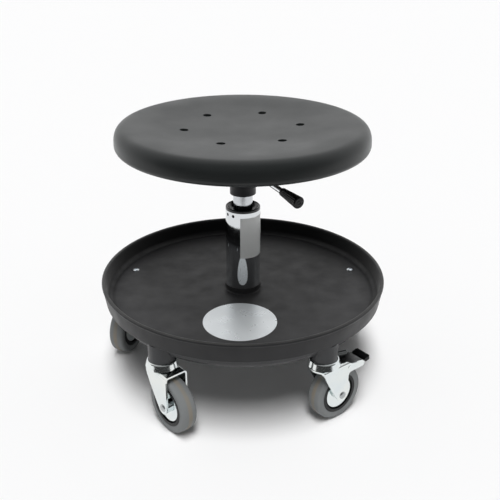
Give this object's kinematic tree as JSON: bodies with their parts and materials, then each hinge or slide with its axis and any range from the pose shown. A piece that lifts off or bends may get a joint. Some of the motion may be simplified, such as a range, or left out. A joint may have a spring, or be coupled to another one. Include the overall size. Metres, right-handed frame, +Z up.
{
  "type": "rolling stool",
  "caption": "Low round work stool on a gas column over a round tool tray with five swivel casters, one with a foot brake",
  "frame": {"origin": "on the floor, under the axis of the column", "axes": "+Z up along the column, -Y to the front of the picture, +X to its right"},
  "size_m": [0.4154, 0.4497, 0.3827],
  "materials": {
    "base_plastic": "fine spark-eroded grain",
    "tray_plastic": "satin, with faint flow marks",
    "badge": "satin foil",
    "screw_zinc": "bright zinc",
    "column_chrome": "polished",
    "label": "silver film",
    "sleeve_plastic": "moulded",
    "bearing_steel": "polished",
    "spring_steel": "oiled",
    "rod_steel": "ground",
    "cylinder_steel": "ground and bright",
    "valve_brass": "turned",
    "mechanism_paint": "satin powder coat",
    "plywood": "birch plywood, stained black",
    "seat_skin": "moulded skin with a fine leather grain",
    "lever_chrome": "polished",
    "grip_plastic": "moulded, lightly ribbed",
    "zinc": "bright blue zinc plating",
    "hub_plastic": "moulded",
    "tyre": "grey non-marking rubber",
    "pedal_steel": "dark bright zinc",
    "pad_plastic": "moulded"
  },
  "bodies": {
    "base": {"base_shell": "base_plastic", "tray": "tray_plastic", "tray_badge": "badge", "tray_screws": "screw_zinc", "column_tube": "column_chrome", "column_label": "label", "guide_sleeve": "sleeve_plastic", "thrust_bearing": "bearing_steel", "stem_front_left": "zinc", "stem_front_right": "zinc", "stem_rear_right": "zinc", "stem_rear": "zinc", "stem_rear_left": "zinc", "balls_front_left": "bearing_steel", "balls_front_right": "bearing_steel", "balls_rear_right": "bearing_steel", "balls_rear": "bearing_steel", "balls_rear_left": "bearing_steel"},
    "spindle": {"piston_rod": "rod_steel", "rod_clip": "spring_steel"},
    "seat": {"gas_cylinder": "cylinder_steel", "seat_mechanism": "mechanism_paint", "seat_screws": "screw_zinc", "seat_board": "plywood", "seat": "seat_skin", "lever_pin": "rod_steel"},
    "lever": {"lever_rod": "lever_chrome", "lever_grip": "grip_plastic"},
    "valve": {"valve_pin": "valve_brass"},
    "caster_front_left": {"fork_front_left": "zinc", "axle_front_left": "zinc", "guards_front_left": "zinc"},
    "wheel_front_left": {"hub_front_left": "hub_plastic", "tyre_front_left": "tyre"},
    "caster_front_right": {"fork_front_right": "zinc", "axle_front_right": "zinc", "guards_front_right": "zinc", "brake_rivets": "zinc"},
    "wheel_front_right": {"hub_front_right": "hub_plastic", "tyre_front_right": "tyre"},
    "brake": {"brake_pedal": "pedal_steel", "brake_pad": "pad_plastic"},
    "caster_rear_right": {"fork_rear_right": "zinc", "axle_rear_right": "zinc", "guards_rear_right": "zinc"},
    "wheel_rear_right": {"hub_rear_right": "hub_plastic", "tyre_rear_right": "tyre"},
    "caster_rear": {"fork_rear": "zinc", "axle_rear": "zinc", "guards_rear": "zinc"},
    "wheel_rear": {"hub_rear": "hub_plastic", "tyre_rear": "tyre"},
    "caster_rear_left": {"fork_rear_left": "zinc", "axle_rear_left": "zinc", "guards_rear_left": "zinc"},
    "wheel_rear_left": {"hub_rear_left": "hub_plastic", "tyre_rear_left": "tyre"}
  },
  "joints": [
    {"name": "seat_swivel", "type": "hinge", "parent": "base", "child": "spindle", "pos_m": [0, 0, 0.072], "axis": [0, 0, 1], "continuous": true},
    {"name": "seat_lift", "type": "slide", "parent": "spindle", "child": "seat", "axis": [0, 0, 1], "range_m": [0, 0.09]},
    {"name": "lever_rock", "type": "hinge", "parent": "seat", "child": "lever", "pos_m": [0.01268, -0.02038, 0.32037], "axis": [-0.849, -0.5284, 0], "range_deg": [0, 7], "stiffness_Nm_per_rad": 1},
    {"name": "valve_press", "type": "slide", "parent": "seat", "child": "valve", "axis": [0, 0, -1], "range_m": [0, 0.003]},
    {"name": "swivel_front_left", "type": "hinge", "parent": "base", "child": "caster_front_left", "pos_m": [-0.10892, -0.14991, 0.0943], "axis": [0, 0, 1], "continuous": true},
    {"name": "roll_front_left", "type": "hinge", "parent": "caster_front_left", "child": "wheel_front_left", "pos_m": [-0.09466, -0.16667, 0.04], "axis": [0.7615, 0.6481, 0], "continuous": true},
    {"name": "swivel_front_right", "type": "hinge", "parent": "base", "child": "caster_front_right", "pos_m": [0.10892, -0.14991, 0.0943], "axis": [0, 0, 1], "continuous": true},
    {"name": "roll_front_right", "type": "hinge", "parent": "caster_front_right", "child": "wheel_front_right", "pos_m": [0.12632, -0.13646, 0.04], "axis": [-0.6115, 0.7912, 0], "continuous": true},
    {"name": "brake_press", "type": "hinge", "parent": "caster_front_right", "child": "brake", "pos_m": [0.13503, -0.12973, 0.081], "axis": [-0.6115, 0.7912, 0], "range_deg": [0, 7]},
    {"name": "swivel_rear_right", "type": "hinge", "parent": "base", "child": "caster_rear_right", "pos_m": [0.17623, 0.05726, 0.0943], "axis": [0, 0, 1], "continuous": true},
    {"name": "roll_rear_right", "type": "hinge", "parent": "caster_rear_right", "child": "wheel_rear_right", "pos_m": [0.15718, 0.06826, 0.04], "axis": [-0.5, -0.866, 0], "continuous": true},
    {"name": "swivel_rear", "type": "hinge", "parent": "base", "child": "caster_rear", "pos_m": [0, 0.1853, 0.0943], "axis": [0, 0, 1], "continuous": true},
    {"name": "roll_rear", "type": "hinge", "parent": "caster_rear", "child": "wheel_rear", "pos_m": [-0.011, 0.20435, 0.04], "axis": [-0.866, -0.5, 0], "continuous": true},
    {"name": "swivel_rear_left", "type": "hinge", "parent": "base", "child": "caster_rear_left", "pos_m": [-0.17623, 0.05726, 0.0943], "axis": [0, 0, 1], "continuous": true},
    {"name": "roll_rear_left", "type": "hinge", "parent": "caster_rear_left", "child": "wheel_rear_left", "pos_m": [-0.18419, 0.03675, 0.04], "axis": [0.9323, -0.3616, 0], "continuous": true}
  ],
  "couplings": [
    {"joint": "valve_press", "follows": "lever_rock", "m_per_rad": 0.024}
  ]
}
